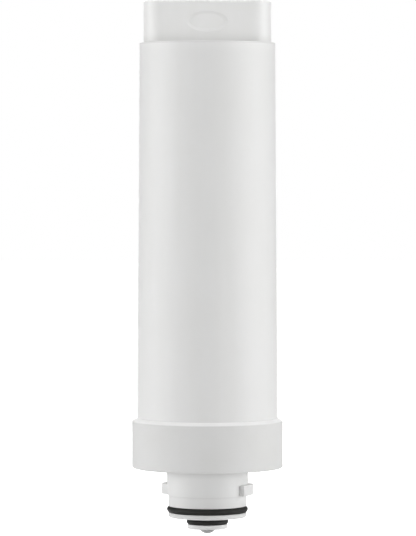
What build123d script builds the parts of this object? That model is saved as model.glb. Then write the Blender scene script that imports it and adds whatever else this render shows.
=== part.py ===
# Push-and-turn water filter cartridge: welded housing and end cap, carbon block inside,
# spring-loaded shut-off valve in the outlet nozzle. The origin is on the axis at the seat
# plane under the collar. The connector points down, the grip up and the oval recess to -Y.

import os

from build123d import *

os.makedirs("parts", exist_ok=True)

# Housing body, heights from the seat plane
body_height = 174.2
body_foot_radius = 28.7
body_taper = 0.9
housing_wall = 2.2
roof_thickness = 2.6
rim_round = 0.3

# Grip blade on the roof
grip_inset = 1.65
grip_thickness = 26.0
grip_height = 16.8
grip_corner = 6.2
grip_wall = 2.2
grip_edge_round = 0.4
grip_root_round = 0.5
oval_length = 16.8
oval_height = 8.5
oval_rise = 8.4
oval_depth = 0.35
oval_slope = 1.2

# Collar and base of the end cap
base_thickness = 3.0
skirt_height = 20.5
skirt_wall = 2.2
shoulder_drop = 1.3
shoulder_round = 0.35
collar_round = 0.8
weld_gap = 0.1
trap_wall = 1.8
trap_height = 4.0
trap_gap = 0.3
rib_count = 6
rib_thickness = 2.0
rib_height = 6.0
rib_setback = 0.8

# Valve in the nozzle, radii added outwards from the tip and from the stem
tip_radius = 3.0
tip_reach = 2.1
tip_dome = 1.3
outlet_gap = 0.7
lip_width = 0.6
lip_height = 0.4
seal_overlap = 0.3
seal_thickness = 1.0
seal_shoulder = 0.6
seal_play = 0.05
head_inset = 0.1
head_thickness = 1.2
chamber_gap = 0.4
valve_stroke = 2.0
stop_gap = 0.05
stem_radius = 1.5
stem_reach = 1.0
stop_width = 0.9
spring_play = 0.5
spring_wire = 0.6
spring_length = 7.7
spring_turns = 4
spring_end_gap = 0.02
retainer_thickness = 1.5
retainer_play = 0.1
guide_play = 0.06
hub_margin = 0.1
spoke_count = 4
spoke_width = 2.0

# Connector walls and grooves, radii added outwards from the valve chamber
ring_play = 0.05
chamber_wall = 1.55
nozzle_ring_section = 2.0
nozzle_ring_proud = 0.43
socket_step = 1.6
tube_wall = 1.6
inlet_annulus = 3.75
port_count = 6
port_margin = 0.35
groove_wall = 2.05
neck_ring_section = 2.6
neck_ring_proud = 0.63
neck_step = 0.69
neck_wall = 2.5

# Connector lengths, added downwards from the seat plane
neck_length = 11.0
land_length = 4.7
neck_groove_width = 2.7
flange_thickness = 1.9
flange_bevel = 0.4
floor_thickness = 3.0
nozzle_root = 0.8
nozzle_groove_width = 2.2
nose_length = 1.8
nose_round = 0.35
end_wall = 1.8
tube_setback = 0.5

# Bayonet lugs on the neck
lug_count = 2
lug_angle = -38.0
lug_span = 36.0
lug_ramp = 20.0
lug_proud = 2.2
lug_height = 4.3
lug_drop = 6.6
lug_round = 0.3

# Filter element, radii added inwards from the housing
flow_gap = 0.7
disc_thickness = 2.0
disc_rim_wall = 1.2
disc_rim_height = 4.0
wrap_thickness = 1.1
wrap_play = 0.1
boss_height = 6.0
boss_wall = 1.5
boss_play = 0.1
fin_count = 4
fin_height = 11.4
fin_length = 12.0
fin_thickness = 2.0
fin_gap = 0.2
stub_play = 0.2
stub_ring_section = 1.25
stub_ring_rise = 5.5
stub_ring_side_play = 0.2
stub_wall = 0.85

# Radii that follow from those sizes
body_rim_radius = body_foot_radius - body_taper
grip_radius = body_rim_radius - grip_inset
skirt_bore = body_foot_radius + weld_gap
collar_radius = skirt_bore + skirt_wall
trap_radius = body_foot_radius - housing_wall - trap_gap
plunger_neck = tip_radius - seal_shoulder
outlet_radius = tip_radius + outlet_gap
lip_radius = outlet_radius + lip_width
seal_radius = lip_radius + seal_overlap
chamber_radius = seal_radius + chamber_gap
boss_radius = stem_radius + stop_width
spring_radius = boss_radius + spring_play + spring_wire / 2
hub_radius = spring_radius + spring_wire / 2 + hub_margin
nozzle_groove_floor = chamber_radius + chamber_wall
nozzle_ring_radius = nozzle_groove_floor + ring_play + nozzle_ring_section / 2
nozzle_radius = nozzle_ring_radius + nozzle_ring_section / 2 - nozzle_ring_proud
socket_bore = chamber_radius + socket_step
tube_radius = socket_bore + tube_wall
inlet_bore = tube_radius + inlet_annulus
neck_groove_floor = inlet_bore + groove_wall
neck_ring_radius = neck_groove_floor + ring_play + neck_ring_section / 2
land_radius = neck_ring_radius + neck_ring_section / 2 - neck_ring_proud
neck_radius = land_radius + neck_step
neck_bore = neck_radius - neck_wall
lug_radius = neck_radius + lug_proud
disc_radius = body_rim_radius - housing_wall - flow_gap
wrap_radius = disc_radius - disc_rim_wall - wrap_play
block_radius = wrap_radius - wrap_thickness - wrap_play
stub_radius = socket_bore - stub_play
stub_ring_radius = socket_bore - ring_play - stub_ring_section / 2
stub_groove_floor = stub_ring_radius - stub_ring_section / 2 - ring_play
stub_bore = stub_groove_floor - stub_wall
boss_bore = stub_bore + boss_wall
block_bore = boss_bore + boss_play

# Heights that follow from those sizes
neck_end = -neck_length
land_end = neck_end - land_length
neck_groove_end = land_end - neck_groove_width
flange_end = neck_groove_end - flange_thickness
floor_top = flange_end + floor_thickness
nozzle_groove_top = flange_end - nozzle_root
nozzle_groove_end = nozzle_groove_top - nozzle_groove_width
nozzle_end = nozzle_groove_end - nose_length
tip_end = nozzle_end - tip_reach
chamber_floor = nozzle_end + end_wall
seal_bottom = chamber_floor + lip_height
seal_top = seal_bottom + seal_thickness
head_top = seal_top + head_thickness
retainer_bottom = head_top + spring_length
retainer_top = retainer_bottom + retainer_thickness
boss_top = retainer_bottom - valve_stroke - stop_gap
stem_top = retainer_top + stem_reach
element_bottom = base_thickness + rib_height
block_bottom = element_bottom + disc_thickness
roof_underside = body_height - roof_thickness
element_top = roof_underside - fin_gap - fin_height
block_top = element_top - disc_thickness

# How near an edge has to lie to be the one that is picked
pick_reach = 0.01


def turned_edges(turned, radius, height):
    """Circular edges of a turned part that have this radius, at this height."""
    circles = turned.edges().filter_by(GeomType.CIRCLE)
    level = circles.filter_by_position(Axis.Z, height - pick_reach, height + pick_reach)
    return level.filter_by(lambda edge: abs(edge.radius - radius) < pick_reach)


def make_seal_ring(label, radius, height, section):
    """O-ring of a round section, its centre line at this radius and height."""
    with BuildPart() as ring:
        with BuildSketch(Plane.XZ):
            with Locations((radius, height)):
                Circle(section / 2)
        revolve(axis=Axis.Z)
    ring.part.label = label
    export_step(ring.part, f"parts/{label}.step")


# Housing: one moulding, a slightly tapered cup with a hollow grip blade on its closed end
with BuildPart() as housing:
    with BuildSketch(Plane.XZ):
        with BuildLine():
            Polyline(
                (0, base_thickness),
                (body_foot_radius, base_thickness),
                (body_foot_radius, skirt_height),
                (body_rim_radius, body_height),
                (0, body_height),
                close=True,
            )
        make_face()
    revolve(axis=Axis.Z)
    fillet(turned_edges(housing, body_rim_radius, body_height), rim_round)

    # Grip with flat faces and ends that follow the round body
    with BuildSketch(Plane.XY.offset(body_height)) as grip_outline:
        Circle(grip_radius)
        Rectangle(2 * grip_radius, grip_thickness, mode=Mode.INTERSECT)
        fillet(grip_outline.vertices(), grip_corner)
    extrude(amount=grip_height)
    roof_edges = housing.edges().filter_by(Plane.XY).group_by(Axis.Z)[-2]
    fillet(roof_edges.sort_by(SortBy.LENGTH)[:-1], grip_root_round)
    fillet(housing.faces().sort_by(Axis.Z)[-1].edges(), grip_edge_round)

    # Oval recess in the front of the grip, with a flat floor and sloping sides
    grip_front = Plane.XZ.offset(grip_thickness / 2)
    for setback, depth in ((0, 0), (oval_slope, oval_depth)):
        with BuildSketch(grip_front.offset(-depth)):
            with Locations((0, body_height + oval_rise)):
                Ellipse(oval_length / 2 - setback, oval_height / 2 - setback)
    loft(mode=Mode.SUBTRACT)

    # Hollow inside, which runs on up into the grip
    with BuildSketch(Plane.XZ):
        with BuildLine():
            Polyline(
                (0, base_thickness),
                (body_foot_radius - housing_wall, base_thickness),
                (body_foot_radius - housing_wall, skirt_height),
                (body_rim_radius - housing_wall, roof_underside),
                (0, roof_underside),
                close=True,
            )
        make_face()
    revolve(axis=Axis.Z, mode=Mode.SUBTRACT)
    with BuildSketch(Plane.XY.offset(roof_underside)) as grip_hollow:
        Circle(grip_radius - grip_wall)
        Rectangle(2 * grip_radius, grip_thickness - 2 * grip_wall, mode=Mode.INTERSECT)
        fillet(grip_hollow.vertices(), grip_corner - grip_wall)
    extrude(amount=roof_thickness + grip_height - grip_wall, mode=Mode.SUBTRACT)

housing.part.label = "housing"
export_step(housing.part, "parts/housing.step")

# End cap: one moulding, the collar that takes the housing, the neck and the outlet nozzle
with BuildPart() as end_cap:
    with BuildSketch(Plane.XZ):
        with BuildLine():
            Polyline(
                (skirt_bore, base_thickness),
                (skirt_bore, skirt_height),
                (collar_radius, skirt_height - shoulder_drop),
                (collar_radius, 0),
                (neck_radius, 0),
                (neck_radius, neck_end),
                (land_radius, neck_end),
                (land_radius, land_end),
                (neck_groove_floor, land_end),
                (neck_groove_floor, neck_groove_end),
                (land_radius, neck_groove_end),
                (land_radius, flange_end),
                (nozzle_radius, flange_end),
                (nozzle_radius, nozzle_groove_top),
                (nozzle_groove_floor, nozzle_groove_top),
                (nozzle_groove_floor, nozzle_groove_end),
                (nozzle_radius, nozzle_groove_end),
                (nozzle_radius, nozzle_end),
                (outlet_radius, nozzle_end),
                (outlet_radius, seal_bottom),
                (lip_radius, seal_bottom),
                (lip_radius, chamber_floor),
                (chamber_radius, chamber_floor),
                (chamber_radius, retainer_bottom),
                (socket_bore, retainer_bottom),
                (socket_bore, base_thickness - tube_setback),
                (tube_radius, base_thickness - tube_setback),
                (tube_radius, floor_top),
                (inlet_bore, floor_top),
                (inlet_bore, neck_end),
                (neck_bore, neck_end),
                (neck_bore, base_thickness),
                (trap_radius - trap_wall, base_thickness),
                (trap_radius - trap_wall, base_thickness + trap_height),
                (trap_radius, base_thickness + trap_height),
                (trap_radius, base_thickness),
                close=True,
            )
        make_face()
    revolve(axis=Axis.Z)
    fillet(turned_edges(end_cap, collar_radius, skirt_height - shoulder_drop), shoulder_round)
    fillet(turned_edges(end_cap, collar_radius, 0), collar_round)
    chamfer(turned_edges(end_cap, land_radius, flange_end), flange_bevel)
    fillet(turned_edges(end_cap, nozzle_radius, nozzle_end), nose_round)

    # Bayonet lugs round the neck, square at one end and ramped down to the neck at the other
    with BuildSketch(Plane.XY.offset(-lug_drop - lug_height)) as lug_outline:
        with PolarLocations(0, lug_count, start_angle=lug_angle):
            Polygon(
                (0, 0),
                (2 * lug_radius, 0),
                Vector(lug_radius, 0).rotate(Axis.Z, lug_span),
                Vector(neck_radius - neck_wall / 4, 0).rotate(Axis.Z, lug_span + lug_ramp),
                align=None,
            )
        Circle(lug_radius, mode=Mode.INTERSECT)
        fillet(lug_outline.vertices().sort_by_distance((0, 0))[-2 * lug_count :], lug_round)
        Circle(neck_radius - neck_wall / 2, mode=Mode.SUBTRACT)
    extrude(amount=lug_height)

    # Ribs that carry the filter element clear of the base
    rib_start = neck_bore + rib_setback
    rib_end = trap_radius - trap_wall / 2
    with BuildSketch(Plane.XY.offset(base_thickness)):
        with PolarLocations((rib_start + rib_end) / 2, rib_count):
            Rectangle(rib_end - rib_start, rib_thickness)
    extrude(amount=rib_height)

    # Inlet ports round the nozzle
    with BuildSketch(Plane.XY.offset(flange_end)):
        with PolarLocations(tube_radius + inlet_annulus / 2, port_count):
            Circle(inlet_annulus / 2 - port_margin)
    extrude(amount=floor_thickness, mode=Mode.SUBTRACT)

end_cap.part.label = "end_cap"
export_step(end_cap.part, "parts/end_cap.step")

# Rubber rings: two that seal in the filter head and one on the element's stub
neck_ring_height = (land_end + neck_groove_end) / 2
nozzle_ring_height = (nozzle_groove_top + nozzle_groove_end) / 2
stub_ring_height = retainer_top + stub_ring_rise
make_seal_ring("neck_o_ring", neck_ring_radius, neck_ring_height, neck_ring_section)
make_seal_ring("nozzle_o_ring", nozzle_ring_radius, nozzle_ring_height, nozzle_ring_section)
make_seal_ring("stub_o_ring", stub_ring_radius, stub_ring_height, stub_ring_section)

# Valve plunger: rounded tip, neck for the seal, head, spring boss and guide stem
with BuildPart() as valve_plunger:
    with BuildSketch(Plane.XZ):
        with BuildLine():
            TangentArc((0, tip_end), (tip_radius, tip_end + tip_dome), tangent=(1, 0))
            Polyline(
                (tip_radius, tip_end + tip_dome),
                (tip_radius, seal_bottom),
                (plunger_neck, seal_bottom),
                (plunger_neck, seal_top),
                (seal_radius - head_inset, seal_top),
                (seal_radius - head_inset, head_top),
                (boss_radius, head_top),
                (boss_radius, boss_top),
                (stem_radius, boss_top),
                (stem_radius, stem_top),
                (0, stem_top),
                (0, tip_end),
            )
        make_face()
    revolve(axis=Axis.Z)

valve_plunger.part.label = "valve_plunger"
export_step(valve_plunger.part, "parts/valve_plunger.step")

# Valve seal: flat rubber washer held in the plunger's neck, on the lip round the outlet
with BuildPart() as valve_seal:
    with BuildSketch(Plane.XY.offset(seal_bottom)):
        Circle(seal_radius)
        Circle(plunger_neck + seal_play, mode=Mode.SUBTRACT)
    extrude(amount=seal_thickness)

valve_seal.part.label = "valve_seal"
export_step(valve_seal.part, "parts/valve_seal.step")

# Valve spring: round wire between the plunger's head and the retainer
with BuildPart() as valve_spring:
    coil_bottom = head_top + spring_wire / 2 + spring_end_gap
    coil_height = spring_length - spring_wire - 2 * spring_end_gap
    with BuildLine() as coil:
        Helix(coil_height / spring_turns, coil_height, spring_radius, center=(0, 0, coil_bottom))
    with BuildSketch(Plane(origin=coil.line @ 0, z_dir=coil.line % 0)):
        Circle(spring_wire / 2)
    sweep(path=coil.line, is_frenet=True)

valve_spring.part.label = "valve_spring"
export_step(valve_spring.part, "parts/valve_spring.step")

# Spring retainer: spoked disc on the step of the socket, with a guide hole for the stem
with BuildPart() as spring_retainer:
    with BuildSketch(Plane.XY.offset(retainer_bottom)):
        Circle(socket_bore - retainer_play)
        Circle(stem_radius + guide_play, mode=Mode.SUBTRACT)
    extrude(amount=retainer_thickness)
    with BuildSketch(Plane.XY.offset(retainer_bottom)):
        Circle(chamber_radius)
        Circle(hub_radius, mode=Mode.SUBTRACT)
        with PolarLocations(0, spoke_count):
            Rectangle(2 * chamber_radius, spoke_width, mode=Mode.SUBTRACT)
    extrude(amount=retainer_thickness, mode=Mode.SUBTRACT)

spring_retainer.part.label = "spring_retainer"
export_step(spring_retainer.part, "parts/spring_retainer.step")

# Lower end disc: rimmed plate on the ribs, boss in the block, stub down into the socket
with BuildPart() as lower_end_disc:
    stub_groove_reach = stub_ring_section / 2 + stub_ring_side_play
    with BuildSketch(Plane.XZ):
        with BuildLine():
            Polyline(
                (stub_bore, retainer_top),
                (stub_radius, retainer_top),
                (stub_radius, stub_ring_height - stub_groove_reach),
                (stub_groove_floor, stub_ring_height - stub_groove_reach),
                (stub_groove_floor, stub_ring_height + stub_groove_reach),
                (stub_radius, stub_ring_height + stub_groove_reach),
                (stub_radius, element_bottom),
                (disc_radius, element_bottom),
                (disc_radius, block_bottom + disc_rim_height),
                (disc_radius - disc_rim_wall, block_bottom + disc_rim_height),
                (disc_radius - disc_rim_wall, block_bottom),
                (boss_bore, block_bottom),
                (boss_bore, block_bottom + boss_height),
                (stub_bore, block_bottom + boss_height),
                close=True,
            )
        make_face()
    revolve(axis=Axis.Z)

lower_end_disc.part.label = "lower_end_disc"
export_step(lower_end_disc.part, "parts/lower_end_disc.step")

# Carbon block: thick pressed tube between the two discs
with BuildPart() as carbon_block:
    with BuildSketch(Plane.XY.offset(block_bottom)):
        Circle(block_radius)
        Circle(block_bore, mode=Mode.SUBTRACT)
    extrude(amount=block_top - block_bottom)

carbon_block.part.label = "carbon_block"
export_step(carbon_block.part, "parts/carbon_block.step")

# Prefilter wrap: fleece sleeve round the block, its ends inside the rims of the discs
with BuildPart() as prefilter_wrap:
    with BuildSketch(Plane.XY.offset(block_bottom)):
        Circle(wrap_radius)
        Circle(wrap_radius - wrap_thickness, mode=Mode.SUBTRACT)
    extrude(amount=block_top - block_bottom)

prefilter_wrap.part.label = "prefilter_wrap"
export_step(prefilter_wrap.part, "parts/prefilter_wrap.step")

# Upper end disc: closed plate with a boss in the block and fins up to the roof
with BuildPart() as upper_end_disc:
    with BuildSketch(Plane.XZ):
        with BuildLine():
            Polyline(
                (0, block_top - boss_height),
                (boss_bore, block_top - boss_height),
                (boss_bore, block_top),
                (disc_radius - disc_rim_wall, block_top),
                (disc_radius - disc_rim_wall, block_top - disc_rim_height),
                (disc_radius, block_top - disc_rim_height),
                (disc_radius, element_top),
                (0, element_top),
                close=True,
            )
        make_face()
    revolve(axis=Axis.Z)
    with BuildSketch(Plane.XY.offset(element_top)):
        with PolarLocations(disc_radius - fin_length / 2, fin_count, start_angle=180 / fin_count):
            Rectangle(fin_length, fin_thickness)
    extrude(amount=fin_height)

upper_end_disc.part.label = "upper_end_disc"
export_step(upper_end_disc.part, "parts/upper_end_disc.step")
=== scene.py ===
import math

import bpy
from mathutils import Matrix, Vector


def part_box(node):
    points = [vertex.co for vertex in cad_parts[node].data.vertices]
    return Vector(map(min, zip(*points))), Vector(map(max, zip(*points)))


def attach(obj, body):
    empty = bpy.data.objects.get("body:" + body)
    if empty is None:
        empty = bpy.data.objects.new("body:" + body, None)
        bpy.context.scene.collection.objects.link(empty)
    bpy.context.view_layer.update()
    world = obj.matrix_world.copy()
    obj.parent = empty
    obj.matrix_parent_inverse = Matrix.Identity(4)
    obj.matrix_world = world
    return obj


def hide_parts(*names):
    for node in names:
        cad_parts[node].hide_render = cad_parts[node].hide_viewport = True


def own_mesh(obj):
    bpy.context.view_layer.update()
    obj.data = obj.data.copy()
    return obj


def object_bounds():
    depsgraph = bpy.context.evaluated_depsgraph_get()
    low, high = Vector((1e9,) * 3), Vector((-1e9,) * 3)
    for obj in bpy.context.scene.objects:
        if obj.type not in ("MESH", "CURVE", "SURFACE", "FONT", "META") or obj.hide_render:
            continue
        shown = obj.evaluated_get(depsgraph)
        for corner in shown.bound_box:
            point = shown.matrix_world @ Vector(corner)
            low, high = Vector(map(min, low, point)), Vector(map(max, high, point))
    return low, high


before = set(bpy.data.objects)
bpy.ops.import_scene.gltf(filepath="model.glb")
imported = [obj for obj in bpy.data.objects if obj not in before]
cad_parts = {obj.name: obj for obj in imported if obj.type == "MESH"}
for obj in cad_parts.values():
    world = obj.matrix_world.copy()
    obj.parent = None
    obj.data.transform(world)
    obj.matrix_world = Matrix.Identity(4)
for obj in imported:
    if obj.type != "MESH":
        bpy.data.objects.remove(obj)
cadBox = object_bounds()
mm = 0.001
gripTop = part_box("housing")[1][2]
rimHeight = gripTop - 17.3 * mm         # where the grip rises from the body
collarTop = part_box("end_cap")[1][2]     # the seat plane under the collar is at height 0


# a socket in a node tree: sums on it add Math nodes, numbers alone stay in Python
class Sock:
    def __init__(self, tree, socket):
        self.tree = tree
        self.socket = socket

    def maths(self, operation, first, second):
        node = self.tree.nodes.new("ShaderNodeMath")
        node.operation = operation
        for place, value in enumerate((first, second)):
            if isinstance(value, Sock):
                self.tree.links.new(value.socket, node.inputs[place])
            else:
                node.inputs[place].default_value = value
        return Sock(self.tree, node.outputs[0])

    def __add__(self, other):
        return self.maths("ADD", self, other)

    def __radd__(self, other):
        return self.maths("ADD", other, self)

    def __sub__(self, other):
        return self.maths("SUBTRACT", self, other)

    def __rsub__(self, other):
        return self.maths("SUBTRACT", other, self)

    def __mul__(self, other):
        return self.maths("MULTIPLY", self, other)

    def __rmul__(self, other):
        return self.maths("MULTIPLY", other, self)

    def __truediv__(self, other):
        return self.maths("DIVIDE", self, other)

    def __rtruediv__(self, other):
        return self.maths("DIVIDE", other, self)

    def __pow__(self, other):
        return self.maths("POWER", self, other)

    def __rpow__(self, other):
        return self.maths("POWER", other, self)

    def __lt__(self, other):
        return self.maths("LESS_THAN", self, other)

    def __gt__(self, other):
        return self.maths("GREATER_THAN", self, other)


def hypotenuse(across, along):
    return (across * across + along * along) ** 0.5


# a noise shifted to swing about nothing, spread this wide
def swing(noise, spread):
    return (noise - 0.5) * spread


# a material being built: one method adds any node, settings first, then its sockets
class Finish:
    def __init__(self, name, tree=None):
        if tree is None:
            self.material = bpy.data.materials.new(name)
            self.material.use_nodes = True
            tree = self.material.node_tree
        self.tree = tree
        self.tree.nodes.clear()

    def node(self, kind, settings=None, sockets=None, out=0):
        node = self.tree.nodes.new("ShaderNode" + kind)
        for key, value in (settings or {}).items():
            setattr(node, key, value)
        for key, value in (sockets or {}).items():
            if isinstance(value, Sock):
                self.tree.links.new(value.socket, node.inputs[key])
            else:
                node.inputs[key].default_value = value
        return Sock(self.tree, node.outputs[out]) if node.outputs else None

    # several outputs of the node that a socket is on
    def outputs(self, sock, names):
        return [Sock(self.tree, sock.socket.node.outputs[name]) for name in names]

    def place(self):
        return self.node("TexCoord", out="Object")

    def split(self, vector):
        return self.outputs(self.node("SeparateXYZ", sockets={"Vector": vector}), "XYZ")

    def stretched(self, vector, scale):
        return self.node("VectorMath", {"operation": "MULTIPLY"}, {0: vector, 1: scale})

    # noise of features about size metres across, 0 to 1 about one half
    def noise(self, vector, size, detail=2, roughness=0.5):
        sockets = {"Vector": vector, "Scale": 1 / size, "Detail": detail, "Roughness": roughness}
        return self.node("TexNoise", sockets=sockets, out="Fac")

    # 0 below low, 1 above high, smooth between
    def rise(self, value, low, high):
        settings = {"interpolation_type": "SMOOTHSTEP"}
        sockets = {"Value": value, "From Min": low, "From Max": high}
        return self.node("MapRange", settings, sockets)

    # up from 0 at low to 1 at full, and down again from fade to gone
    def band(self, value, low, full, fade, gone):
        return self.rise(value, low, full) * (1 - self.rise(value, fade, gone))

    # a Mix node takes its colours on inputs 6 and 7, and gives the mixed one on output 2
    def mixed(self, factor, first, second):
        ends = [end if isinstance(end, Sock) else (*end, 1) for end in (first, second)]
        return self.node("Mix", {"data_type": "RGBA"}, {0: factor, 6: ends[0], 7: ends[1]}, out=2)

    def bump(self, height, depth, under=None):
        sockets = {"Height": height, "Distance": depth, "Strength": 1.0}
        if under is not None:
            sockets["Normal"] = under
        return self.node("Bump", sockets=sockets)

    # what every finish has, and any fixed sockets besides
    def surface(self, colour, rough, skin, fixed=None):
        sockets = {"Base Color": colour, "Roughness": rough, "Normal": skin, **(fixed or {})}
        shader = self.node("BsdfPrincipled", sockets=sockets)
        self.node("OutputMaterial", sockets={"Surface": shader})
        return self.material


# put a finish on every slot of the named CAD nodes
def dress(material, *names):
    for name in names:
        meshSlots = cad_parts[name].material_slots
        for meshSlot in meshSlots:
            meshSlot.material = material


# housing: white polypropylene from a lightly grained mould
housingLook = {
    "white": (0.92, 0.92, 0.915),
    "flowWhite": (0.905, 0.905, 0.895),
    "flowRange": (0.35, 0.65),
    "streak": (1, 1, 0.06),     # faint flow streaks, drawn out along the axis
    "streakSize": 5 * mm,
    "cloudSize": 30 * mm,
    # painted shade: the body is greyed below the grip, fading out over the rim
    "bodyShadeGrey": (0.30, 0.30, 0.30),
    "bodyShadeShare": 0.12,          # the body is a little greyer than the grip in the photograph
    "bodyShadeTop": (rimHeight - 5.7 * mm, rimHeight + 6.3 * mm),
    # painted shade: the grey that darkens the foot of the grip and the slope round the recess
    "shade": (0.45, 0.45, 0.44),        # for corners that are greyer in the photograph
    "rootShade": 0.16,          # painted shade at the foot of the grip, from the rim up
    "rootBand": (rimHeight - 0.3 * mm, rimHeight, rimHeight, rimHeight + 4.3 * mm),
    "ovalShade": 0.06,          # painted shade on the slope round the recess
    "ovalHeight": gripTop - 8.4 * mm,
    "ovalHalf": (8.4 * mm, 4.25 * mm),
    "ovalBand": (0.70, 0.84, 0.96, 1.04),       # in shares of the oval's half sizes
    "gripFront": -12 * mm,
    "roughness": 0.50,
    "grainRough": 0.10,
    "cloudRough": 0.06,
    "grainSize": 0.45 * mm,
    "grainDepth": 0.005 * mm,
    "peelSize": 6 * mm,
    "peelDepth": 0.008 * mm,
    "specular": 0.28,
}


def housingPlastic(look):
    finish = Finish("housingPlastic")
    at = finish.place()
    x, y, z = finish.split(at)
    streaks = finish.noise(finish.stretched(at, look["streak"]), look["streakSize"], detail=3)
    cloud = finish.noise(at, look["cloudSize"], detail=3)
    grain = finish.noise(at, look["grainSize"])
    peel = finish.noise(at, look["peelSize"], detail=1)
    flow = finish.rise(streaks * 0.5 + cloud * 0.5, *look["flowRange"])
    colour = finish.mixed(flow, look["white"], look["flowWhite"])
    # painted shade: the body greyed below the grip
    body = 1 - finish.rise(z, *look["bodyShadeTop"])
    colour = finish.mixed(body * look["bodyShadeShare"], colour, look["bodyShadeGrey"])
    # painted shade at the foot of the grip
    rootShadeMask = finish.band(z, *look["rootBand"])
    colour = finish.mixed(rootShadeMask * look["rootShade"], colour, look["shade"])
    # painted shade on the slope round the oval recess
    halfWide, halfHigh = look["ovalHalf"]
    oval = hypotenuse(x / halfWide, (z - look["ovalHeight"]) / halfHigh)
    slopeShade = finish.band(oval, *look["ovalBand"]) * (y < look["gripFront"])
    colour = finish.mixed(slopeShade * look["ovalShade"], colour, look["shade"])
    uneven = swing(grain, look["grainRough"]) + swing(cloud, look["cloudRough"])
    rough = look["roughness"] + uneven
    skin = finish.bump(grain, look["grainDepth"], finish.bump(peel, look["peelDepth"]))
    return finish.surface(colour, rough, skin, {"Specular IOR Level": look["specular"]})


# end cap: a duller white than the housing, with fine rings left by the turned mould
capLook = {
    "white": (0.78, 0.78, 0.775),
    "dullWhite": (0.76, 0.76, 0.75),
    "dullRange": (0.35, 0.7),
    "cloudSize": 18 * mm,
    # painted light: the shoulder, which faces up, is made paler
    "shoulderLitWhite": (0.93, 0.93, 0.925),       # shoulder and neck are paler in the photograph
    "shoulderLitRange": (collarTop - 1.6 * mm, collarTop - 1.0 * mm),
    # painted light: the neck is made paler in patches
    "neckLitWhite": (0.80, 0.80, 0.795),
    "neckLitRange": (0.1, 0.4),
    "neckLitFrom": -0.5 * mm,
    # painted shade: grey for the corners under the collar and under the step of the neck
    "shade": (0.45, 0.45, 0.44),        # for corners that are greyer in the photograph
    "corners": [
        # share, top, where it ends, out to this radius
        (0.42, 0.0, -4.0 * mm, 17.6 * mm),              # painted shade under the collar
        (0.16, -10.99 * mm, -12.3 * mm, 17.6 * mm),     # painted shade under the step of the neck
    ],
    "roughness": 0.58,
    "grainRough": 0.12,
    "grainSize": 0.30 * mm,
    "grainDepth": 0.007 * mm,
    "ringPitch": 0.5 * mm,
    "ringDepth": 0.0015 * mm,
    "specular": 0.25,
}


def capPlastic(look):
    finish = Finish("capPlastic")
    at = finish.place()
    x, y, z = finish.split(at)
    radius = hypotenuse(x, y)
    cloud = finish.noise(at, look["cloudSize"], detail=3)
    grain = finish.noise(at, look["grainSize"])
    turned = finish.node("CombineXYZ", sockets={"X": radius, "Z": z})
    rings = finish.noise(turned, look["ringPitch"], detail=1)
    colour = finish.mixed(finish.rise(cloud, *look["dullRange"]), look["white"], look["dullWhite"])
    # painted light: a paler shoulder at the top of the collar
    colour = finish.mixed(finish.rise(z, *look["shoulderLitRange"]), colour, look["shoulderLitWhite"])
    # painted light: a paler neck, in patches
    neck = (z < look["neckLitFrom"]) * finish.rise(cloud, *look["neckLitRange"])
    colour = finish.mixed(neck, colour, look["neckLitWhite"])
    # painted shade in the corners under the collar and the step of the neck
    for share, top, end, reach in look["corners"]:
        corner = finish.rise(z, end, top) * (z < top) * (radius < reach)
        colour = finish.mixed(corner * share, colour, look["shade"])
    rough = look["roughness"] + swing(grain, look["grainRough"])
    skin = finish.bump(grain, look["grainDepth"], finish.bump(rings, look["ringDepth"]))
    return finish.surface(colour, rough, skin, {"Specular IOR Level": look["specular"]})


# rings and washer: black rubber with a thin film of grease
rubberLook = {
    "black": (0.014, 0.014, 0.013),
    "dusty": (0.030, 0.030, 0.028),
    "dustyRange": (0.45, 0.75),
    "filmSize": 4 * mm,
    "filmRange": (0.40, 0.62),
    "dryRough": 0.68,
    "greasedRough": 0.48,
    "grainSize": 0.20 * mm,
    "grainHarsh": 0.6,
    "grainDepth": 0.004 * mm,
    "specular": 0.22,
}


def ringRubber(look):
    finish = Finish("ringRubber")
    at = finish.place()
    film = finish.rise(finish.noise(at, look["filmSize"], detail=3), *look["filmRange"])
    grain = finish.noise(at, look["grainSize"], detail=3, roughness=look["grainHarsh"])
    dusty = finish.rise(grain, *look["dustyRange"]) * (1 - film)
    colour = finish.mixed(dusty, look["black"], look["dusty"])
    rough = look["dryRough"] + film * (look["greasedRough"] - look["dryRough"])
    skin = finish.bump(grain, look["grainDepth"])
    return finish.surface(colour, rough, skin, {"Specular IOR Level": look["specular"]})


# valve plunger: grey acetal, smooth and a little waxy
plungerLook = {
    "grey": (0.35, 0.35, 0.35),
    "paleGrey": (0.41, 0.41, 0.41),
    "paleRange": (0.3, 0.7),
    "cloudSize": 2.5 * mm,
    "roughness": 0.42,
    "cloudRough": 0.12,
    "grainSize": 0.25 * mm,
    "grainDepth": 0.003 * mm,
}


def plungerAcetal(look):
    finish = Finish("plungerAcetal")
    at = finish.place()
    cloud = finish.noise(at, look["cloudSize"], detail=3)
    grain = finish.noise(at, look["grainSize"])
    colour = finish.mixed(finish.rise(cloud, *look["paleRange"]), look["grey"], look["paleGrey"])
    rough = look["roughness"] + swing(cloud, look["cloudRough"])
    return finish.surface(colour, rough, finish.bump(grain, look["grainDepth"]))


# discs and retainer: natural polypropylene, milky
discLook = {
    "milky": (0.72, 0.72, 0.70),
    "clearer": (0.64, 0.64, 0.62),
    "clearRange": (0.3, 0.7),
    "cloudSize": 9 * mm,
    "roughness": 0.48,
    "grainRough": 0.15,
    "grainSize": 0.4 * mm,
    "grainDepth": 0.004 * mm,
}


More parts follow.
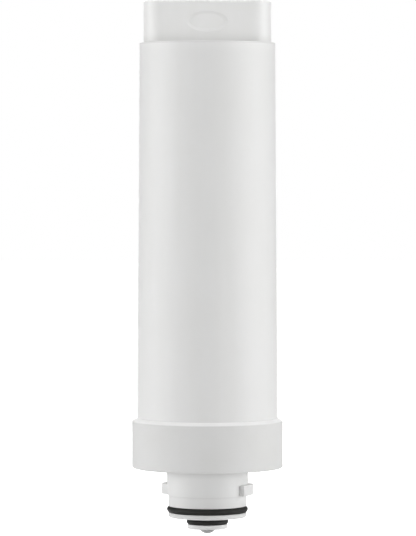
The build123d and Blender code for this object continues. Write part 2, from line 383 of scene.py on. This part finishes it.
def discPlastic(look):
    finish = Finish("discPlastic")
    at = finish.place()
    cloud = finish.noise(at, look["cloudSize"], detail=3)
    grain = finish.noise(at, look["grainSize"])
    colour = finish.mixed(finish.rise(cloud, *look["clearRange"]), look["milky"], look["clearer"])
    rough = look["roughness"] + swing(grain, look["grainRough"])
    return finish.surface(colour, rough, finish.bump(grain, look["grainDepth"]))


# filter block: pressed carbon grains with open pores
carbonLook = {
    "black": (0.012, 0.012, 0.012),
    "grey": (0.055, 0.055, 0.055),
    "greyRange": (0.2, 0.6),
    "dustSize": 1.5 * mm,
    "grainShare": 0.3,          # how far the grains darken the dust on them
    "grainSize": 0.6 * mm,
    "poreDepth": 0.12 * mm,
    "roughness": 0.75,
    "dustRough": 0.2,
}


def pressedCarbon(look):
    finish = Finish("pressedCarbon")
    at = finish.place()
    cells = {"Vector": at, "Scale": 1 / look["grainSize"]}
    grains = finish.node("TexVoronoi", sockets=cells, out="Distance")
    dust = finish.noise(at, look["dustSize"], detail=4)
    grey = finish.rise(dust - grains * look["grainShare"], *look["greyRange"])
    colour = finish.mixed(grey, look["black"], look["grey"])
    rough = look["roughness"] + swing(dust, look["dustRough"])
    return finish.surface(colour, rough, finish.bump(1 - grains, look["poreDepth"]))


# prefilter: white fleece of matted fibres
fleeceLook = {
    "white": (0.82, 0.82, 0.80),
    "shade": (0.66, 0.66, 0.64),
    "whiteRange": (0.35, 0.65),
    "fibreShare": 0.7,          # the rest of the mat is clumps
    "fibreSize": 0.35 * mm,
    "fibreStretch": (1, 1, 0.25),
    "fibreHarsh": 0.7,
    "clumpSize": 5 * mm,
    "matDepth": 0.10 * mm,
    "roughness": 0.9,
}


def fleeceWrap(look):
    finish = Finish("fleeceWrap")
    at = finish.place()
    lying = finish.stretched(at, look["fibreStretch"])
    fibres = finish.noise(lying, look["fibreSize"], detail=5, roughness=look["fibreHarsh"])
    clumps = finish.noise(at, look["clumpSize"], detail=3)
    mat = fibres * look["fibreShare"] + clumps * (1 - look["fibreShare"])
    colour = finish.mixed(finish.rise(mat, *look["whiteRange"]), look["shade"], look["white"])
    return finish.surface(colour, look["roughness"], finish.bump(mat, look["matDepth"]))


# spring: drawn stainless wire
springLook = {
    "steel": (0.62, 0.62, 0.61),
    "darkSteel": (0.48, 0.48, 0.47),
    "darkRange": (0.35, 0.7),
    "roughness": 0.28,
    "drawRough": 0.2,
    "drawSize": 0.15 * mm,
    "drawStretch": (1, 1, 6),
    "drawDepth": 0.002 * mm,
}


def springSteel(look):
    finish = Finish("springSteel")
    drawn = finish.noise(finish.stretched(finish.place(), look["drawStretch"]), look["drawSize"])
    colour = finish.mixed(finish.rise(drawn, *look["darkRange"]), look["steel"], look["darkSteel"])
    rough = look["roughness"] + swing(drawn, look["drawRough"])
    return finish.surface(colour, rough, finish.bump(drawn, look["drawDepth"]), {"Metallic": 1.0})


dress(housingPlastic(housingLook), "housing")
dress(capPlastic(capLook), "end_cap")
dress(ringRubber(rubberLook), "neck_o_ring", "nozzle_o_ring", "stub_o_ring", "valve_seal")
dress(plungerAcetal(plungerLook), "valve_plunger")
dress(discPlastic(discLook), "upper_end_disc", "lower_end_disc", "spring_retainer")
dress(pressedCarbon(carbonLook), "carbon_block")
dress(fleeceWrap(fleeceLook), "prefilter_wrap")
steel = springSteel(springLook)
dress(steel, "valve_spring")
print("finishes on", len(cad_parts), "nodes")


# an object of this data, linked into the scene
def addObject(name, data):
    thing = bpy.data.objects.new(name, data)
    bpy.context.scene.collection.objects.link(thing)
    return thing


# valve coil: stands for the plain CAD spring, with closed ends
coilSet = {
    "wire": 0.6 * mm,
    "turns": 6,
    "endTurns": 1.0,            # lie wire on wire at each end
    "easeTurns": 0.5,           # between closed and open
    "perTurn": 64,
    "sides": 14,
    "squeezed": 0.74,           # share of its length left with the valve pushed in 2 mm
}


# heights of the wire's middle, step by step: wire on wire at the ends, the spare height between
def coilHeights(setUp, foot, top):
    steps = setUp["turns"] * setUp["perTurn"]
    closedRise = setUp["wire"] / setUp["perTurn"]
    opening = []
    for step in range(steps):
        turnsDone = (step + 0.5) / setUp["perTurn"]
        fromEnd = min(turnsDone, setUp["turns"] - turnsDone)
        eased = (fromEnd - setUp["endTurns"]) / setUp["easeTurns"] + 0.5
        opening.append(min(1.0, max(0.0, eased)))
    spare = top - foot - setUp["wire"] - closedRise * steps
    openRise = spare / sum(opening)
    heights = [foot + setUp["wire"] / 2]
    for share in opening:
        heights.append(heights[-1] + closedRise + openRise * share)
    return heights


def coilMesh(setUp):
    low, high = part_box("valve_spring")
    wireRadius = setUp["wire"] / 2
    coilRadius = high[0] - wireRadius
    sides = setUp["sides"]
    points = []
    for step, height in enumerate(coilHeights(setUp, low[2], high[2])):
        turned = 2 * math.pi * step / setUp["perTurn"]
        for side in range(sides):
            about = 2 * math.pi * side / sides
            out = coilRadius + wireRadius * math.cos(about)
            up = height + wireRadius * math.sin(about)
            points.append((out * math.cos(turned), out * math.sin(turned), up))
    last = len(points) - sides
    faces = []
    for here in range(0, last, sides):
        there = here + sides
        for side in range(sides):
            after = (side + 1) % sides
            faces.append((here + side, there + side, there + after, here + after))
    faces.append(tuple(range(sides)))
    faces.append(tuple(reversed(range(last, last + sides))))
    mesh = bpy.data.meshes.new("valveCoil")
    mesh.from_pydata(points, [], faces)
    mesh.polygons.foreach_set("use_smooth", [len(face) == 4 for face in faces])     # cut ends stay flat
    return mesh


def buildCoil(setUp, material):
    mesh = coilMesh(setUp)
    mesh.materials.append(material)
    coil = addObject("valveCoil", mesh)
    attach(coil, "cartridge")
    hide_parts("valve_spring")
    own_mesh(coil)


buildCoil(coilSet, steel)
print("valve coil built")

# studio: white floor below the tip, softboxes all round and a little ambient light
studioSet = {
    "floorDrop": 60 * mm,
    "floorHalf": 6.0,
    "floorWhite": (0.92, 0.92, 0.92),
    "nearLift": 0.15,           # brings the seen floor up to white, little near the object
    "farLift": 1.0,
    "liftRange": (0.15, 0.55),
    "ambient": 0.03,
    "backdrop": 1.0,            # a strength of 1 is seen as white
    "flagBlack": (0.02, 0.02, 0.02),
    "flagSpan": (116, 174),     # azimuths behind the object, on either side
    "flagAway": 1.6,
    "flagFoot": -0.05,
    "flagTop": 2.0,
    "aim": (0, 0, 0.08),
    "boxes": [
        # name, azimuth from the camera side, elevation, distance, width, tall, watts
        ("leftBox", -90, 0, 1.3, 0.4, 1.0, 7.7),
        ("rightBox", 90, 0, 1.3, 0.4, 1.0, 5.9),
        ("leftFill", -66, 0, 1.3, 0.4, 1.0, 5.3),
        ("rightFill", 66, 0, 1.3, 0.4, 1.0, 7.6),
        ("frontBox", 0, 62, 0.75, 0.6, 0.6, 1.75),
        ("lowBox", 0, -9, 0.7, 0.9, 0.06, 0.36),
        ("topBox", 0, 88, 1.4, 1.2, 1.2, 8.0),
        ("backBox", 180, 15, 1.4, 0.8, 0.8, 6.0),
    ],
}


# 1 for what the camera sees, also in mirrors and through glass
def seenRays(finish):
    rays = ("Is Camera Ray", "Is Glossy Ray", "Is Transmission Ray")
    seen, mirrored, through = finish.outputs(finish.node("LightPath"), rays)
    return finish.node("Math", {"operation": "ADD", "use_clamp": True}, {0: seen + mirrored, 1: through})


def buildWorld(setUp):
    world = bpy.data.worlds.new("studioWorld")
    bpy.context.scene.world = world
    world.use_nodes = True
    finish = Finish("studioWorld", world.node_tree)
    white = (1, 1, 1, 1)
    working = finish.node("Background", sockets={"Color": white, "Strength": setUp["ambient"]})
    plain = finish.node("Background", sockets={"Color": white, "Strength": setUp["backdrop"]})
    shown = finish.node("MixShader", sockets={0: seenRays(finish), 1: working, 2: plain})
    finish.node("OutputWorld", sockets={"Surface": shown})


# a flat sheet between four corners
def addSheet(name, corners, material):
    mesh = bpy.data.meshes.new(name)
    mesh.from_pydata(corners, [], [(0, 1, 2, 3)])
    mesh.materials.append(material)
    return addObject(name, mesh)


def floorFinish(setUp):
    finish = Finish("floorWhite")
    lit = finish.node("BsdfDiffuse", sockets={"Color": (*setUp["floorWhite"], 1)})
    x, y = finish.split(finish.place())[:2]
    apart = finish.rise(hypotenuse(x, y), *setUp["liftRange"])
    glow = setUp["nearLift"] + apart * (setUp["farLift"] - setUp["nearLift"])
    lift = finish.node("Emission", sockets={"Color": seenRays(finish) * glow})
    above = finish.node("AddShader", sockets={0: lit, 1: lift})
    under = finish.node("NewGeometry", out="Backfacing")  # clear from below, so the tip can be looked at
    shown = finish.node("MixShader", sockets={0: under, 1: above, 2: finish.node("BsdfTransparent")})
    finish.node("OutputMaterial", sockets={"Surface": shown})
    return finish.material


def buildFloor(setUp):
    level = cadBox[0][2] - setUp["floorDrop"]
    half = setUp["floorHalf"]
    ends = ((-half, -half), (half, -half), (half, half), (-half, half))
    floor = addSheet("studioFloor", [(*end, level) for end in ends], floorFinish(setUp))


# black flags behind, off to both sides, which the edges of the white plastic reflect
def buildFlags(setUp):
    finish = Finish("flagBlack")
    black = finish.node("BsdfDiffuse", sockets={"Color": (*setUp["flagBlack"], 1)})
    finish.node("OutputMaterial", sockets={"Surface": black})
    foot, top, away = setUp["flagFoot"], setUp["flagTop"], setUp["flagAway"]
    for name, side in (("leftFlag", -1), ("rightFlag", 1)):
        ends = []
        for azimuth in setUp["flagSpan"]:
            turn = math.radians(azimuth)
            ends.append((side * math.sin(turn) * away, -math.cos(turn) * away))
        near, far = ends
        corners = [(*near, foot), (*near, top), (*far, top), (*far, foot)]
        flag = addSheet(name, corners, finish.material)
        flag.visible_camera = False


def buildBoxes(setUp):
    aim = Vector(setUp["aim"])
    for name, azimuth, elevation, distance, width, tall, watts in setUp["boxes"]:
        lamp = bpy.data.lights.new(name, "AREA")
        lamp.shape = "RECTANGLE"
        lamp.size = width
        lamp.size_y = tall
        lamp.energy = watts
        turn = math.radians(azimuth)
        lift = math.radians(elevation)
        level = Vector((math.sin(turn), -math.cos(turn), 0)) * math.cos(lift)
        away = level + Vector((0, 0, math.sin(lift)))
        softbox = addObject(name, lamp)
        softbox.visible_camera = False
        softbox.location = aim + away * distance
        softbox.rotation_euler = away.to_track_quat("Z", "Y").to_euler()


# camera: level with the upper body and well off, fitted to the photograph's view
cameraSet = {
    "place": (0.23 * mm, -1446 * mm, 126.4 * mm),
    "tiltDown": 1.76,
    "lens": 236.8,
    "sensor": 36.0,
}


def buildCamera(setUp):
    data = bpy.data.cameras.new("studioCamera")
    data.lens = setUp["lens"]
    data.sensor_width = setUp["sensor"]
    camera = addObject("studioCamera", data)
    camera.location = setUp["place"]
    camera.rotation_euler = (math.radians(90 - setUp["tiltDown"]), 0, 0)
    bpy.context.scene.camera = camera


buildWorld(studioSet)
buildFloor(studioSet)
buildFlags(studioSet)
buildBoxes(studioSet)
buildCamera(cameraSet)
bpy.context.scene.view_settings.view_transform = "Standard"
print("studio built")
